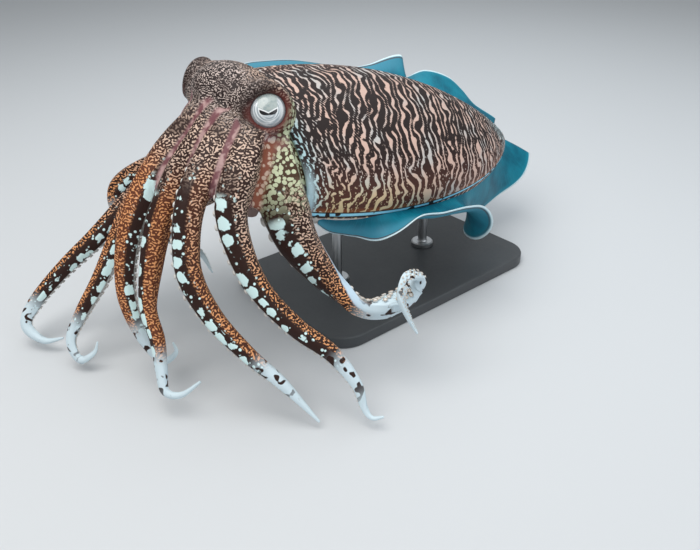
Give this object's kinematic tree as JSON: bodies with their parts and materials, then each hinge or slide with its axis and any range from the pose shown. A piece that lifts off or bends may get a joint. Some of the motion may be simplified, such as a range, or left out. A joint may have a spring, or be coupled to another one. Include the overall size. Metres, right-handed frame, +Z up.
{
  "type": "pharaoh cuttlefish display model",
  "caption": "Life-size still model of a swimming zebra-striped male pharaoh cuttlefish with spread sucker-lined arms, held over a flat base by two short rods.",
  "frame": {"origin": "bottom centre of the whole model, on the surface that the stand's base lies on", "axes": "+Z up, the animal heads towards -X with its left side towards -Y, +X runs towards its tail"},
  "size_m": [0.4638, 0.2736, 0.2062],
  "materials": {
    "mantle_skin": "satin skin, near-black brown with fine pale pink zebra lines",
    "head_skin": "satin skin, dark brown with a fine cream labyrinth",
    "arm_skin": "satin skin, orange-brown with rows of pale blue-white blotches",
    "fin_membrane": "thin translucent blue membrane with a pale edge",
    "eye": "glossy, silver iris with a black W-shaped pupil",
    "lip_skin": "soft pale lips",
    "funnel_skin": "pale satin skin",
    "stand_base": "matt charcoal paint",
    "stand_rod": "brushed steel"
  },
  "bodies": {
    "root": {"mantle": "mantle_skin", "fin_left": "fin_membrane", "fin_right": "fin_membrane", "head": "head_skin", "eye_left": "eye", "eye_right": "eye", "arm_crown": "arm_skin", "arm_left_1_root": "arm_skin", "arm_left_1_middle": "arm_skin", "arm_left_1_tip": "arm_skin", "arm_left_2_root": "arm_skin", "arm_left_2_middle": "arm_skin", "arm_left_2_tip": "arm_skin", "arm_left_3_root": "arm_skin", "arm_left_3_middle": "arm_skin", "arm_left_3_tip": "arm_skin", "arm_left_4_root": "arm_skin", "arm_left_4_middle": "arm_skin", "arm_left_4_tip": "arm_skin", "arm_right_1_root": "arm_skin", "arm_right_1_middle": "arm_skin", "arm_right_1_tip": "arm_skin", "arm_right_2_root": "arm_skin", "arm_right_2_middle": "arm_skin", "arm_right_2_tip": "arm_skin", "arm_right_3_root": "arm_skin", "arm_right_3_middle": "arm_skin", "arm_right_3_tip": "arm_skin", "arm_right_4_root": "arm_skin", "arm_right_4_middle": "arm_skin", "arm_right_4_tip": "arm_skin", "mouth": "lip_skin", "funnel": "funnel_skin", "stand_base": "stand_base", "stand_rod_front": "stand_rod", "stand_rod_rear": "stand_rod"}
  },
  "joints": []
}
